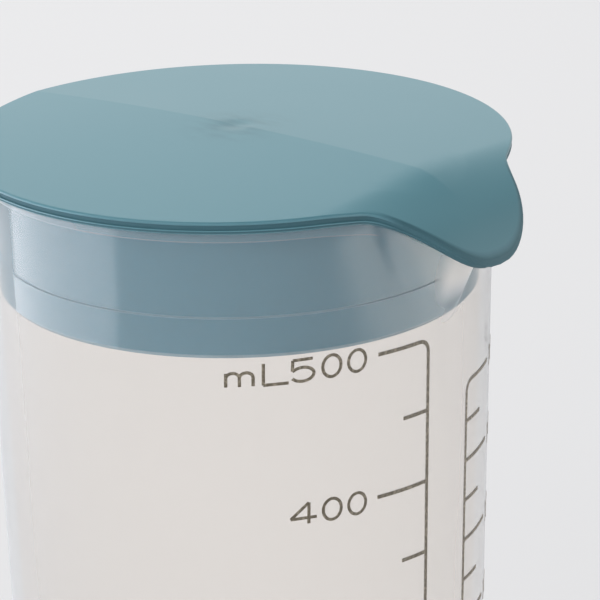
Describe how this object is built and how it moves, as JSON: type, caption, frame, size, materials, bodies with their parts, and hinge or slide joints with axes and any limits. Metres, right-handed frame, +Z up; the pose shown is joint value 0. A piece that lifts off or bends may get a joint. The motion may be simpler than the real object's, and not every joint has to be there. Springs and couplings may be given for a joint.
{
  "type": "measuring shaker",
  "caption": "Tall tapered translucent measuring beaker with printed volume scales and a pour spout, closed by a press-in lid whose tongue bends down over the spout.",
  "frame": {"origin": "on the beaker's axis, at the table under its foot ring", "axes": "+Z up along the beaker's axis, +X from the axis towards the pour spout and the lid's tongue"},
  "size_m": [0.093, 0.085, 0.1514],
  "materials": {
    "milky_plastic": "milky translucent polypropylene, satin",
    "lid_plastic": "soft blue-grey plastic, fine matt texture",
    "scale_ink": "screen-printed brown-grey ink"
  },
  "bodies": {
    "beaker": {"beaker": "milky_plastic", "ml_scale": "scale_ink", "oz_scale": "scale_ink"},
    "lid": {"lid": "lid_plastic"}
  },
  "joints": [
    {"name": "lid_lift", "type": "slide", "parent": "beaker", "child": "lid", "axis": [0, 0, 1], "range_m": [0, 0.06]}
  ]
}
